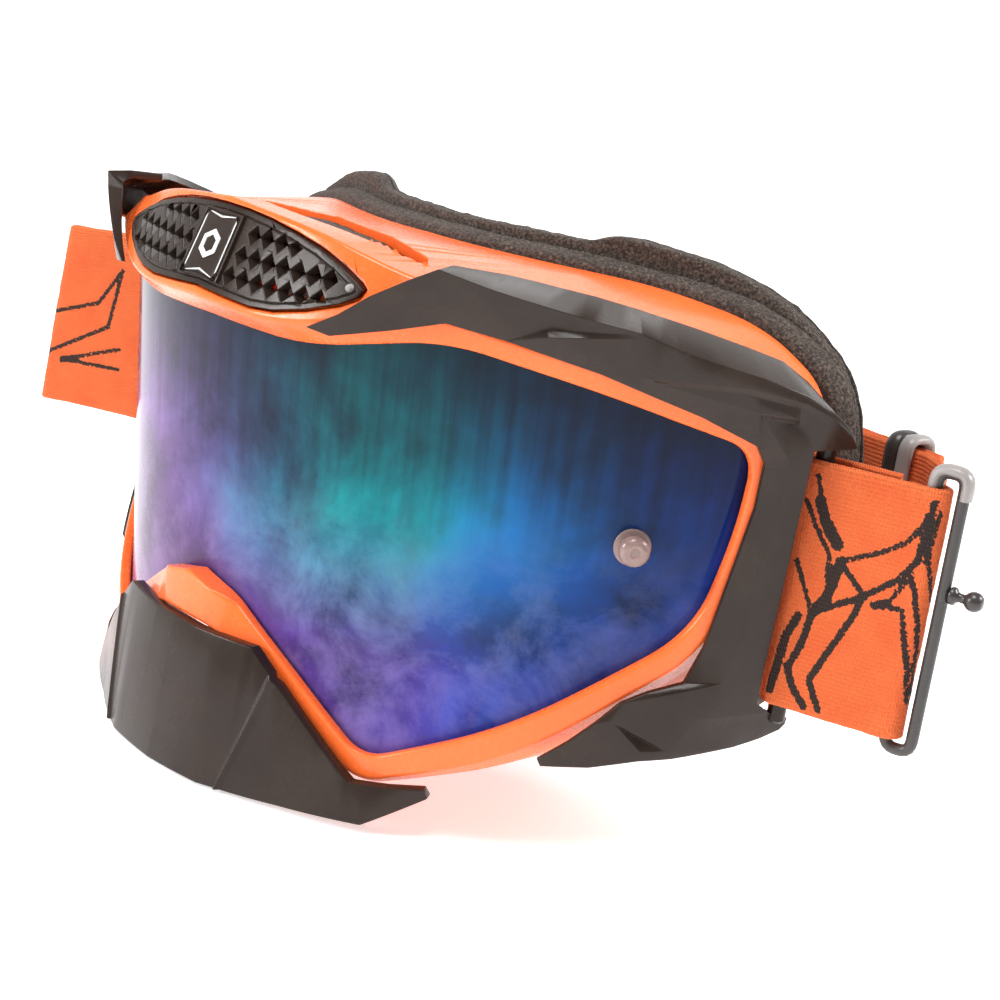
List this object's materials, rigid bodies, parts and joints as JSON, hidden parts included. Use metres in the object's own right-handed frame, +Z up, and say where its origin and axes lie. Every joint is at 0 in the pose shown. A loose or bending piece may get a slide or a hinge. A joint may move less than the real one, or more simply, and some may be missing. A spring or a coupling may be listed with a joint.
{
  "type": "motocross goggles",
  "caption": "Off-road riding goggles: wrapped frame with vented brow, mirror lens, clip-on nose guard, strap outriggers, layered face pad and elastic strap.",
  "frame": {"origin": "centre of the footprint's bounding box, on the plane the lowest point of the nose guard lies in", "axes": "the wearer looks along -Y, +Z is up and +X is the wearer's left"},
  "size_m": [0.2542, 0.1082, 0.1074],
  "materials": {
    "gloss_orange_plastic": "gloss",
    "satin_dark_plastic": "satin",
    "mirror_lens": "gloss",
    "clear_plastic": "gloss",
    "dark_foam": "matte",
    "fleece": "matte",
    "orange_webbing": "matte"
  },
  "bodies": {
    "goggle_body": {"badge_plate": "satin_dark_plastic", "brow_vent_foam": "dark_foam", "face_frame": "gloss_orange_plastic", "lens": "mirror_lens", "outrigger_left": "satin_dark_plastic", "outrigger_right": "satin_dark_plastic", "pad_base_foam": "dark_foam", "pad_fleece": "fleece", "pad_middle_foam": "dark_foam", "post_washer_left": "clear_plastic", "post_washer_right": "clear_plastic", "side_vent_foam_left": "dark_foam", "side_vent_foam_right": "dark_foam", "strap_left": "orange_webbing", "strap_right": "orange_webbing", "tear_off_post_left": "clear_plastic", "tear_off_post_right": "clear_plastic", "top_vent_foam": "dark_foam", "vent_grille": "satin_dark_plastic"},
    "guard_body": {"nose_guard": "satin_dark_plastic"},
    "strap_body": {"strap_rear": "orange_webbing", "strap_tail": "orange_webbing"},
    "ring_body": {"fold_ring": "satin_dark_plastic", "ball_stud": "satin_dark_plastic"},
    "slider_body": {"strap_slider": "satin_dark_plastic"}
  },
  "joints": [
    {"name": "strap_stretch", "type": "slide", "parent": "goggle_body", "child": "strap_body", "axis": [0, 1, 0], "range_m": [0, 0.025], "deforming": ["strap_left", "strap_right"]},
    {"name": "slider_slide", "type": "slide", "parent": "strap_body", "child": "slider_body", "axis": [-0.9944, 0.1058, 0], "range_m": [0, 0.04]},
    {"name": "ring_swivel", "type": "hinge", "parent": "strap_body", "child": "ring_body", "pos_m": [0.1155, 0.0217, 0.0573], "axis": [0, 0, 1], "range_deg": [-12, 12]},
    {"name": "nose_guard_release", "type": "slide", "parent": "goggle_body", "child": "guard_body", "axis": [0, -1, 0], "range_m": [0, 0.02]}
  ]
}
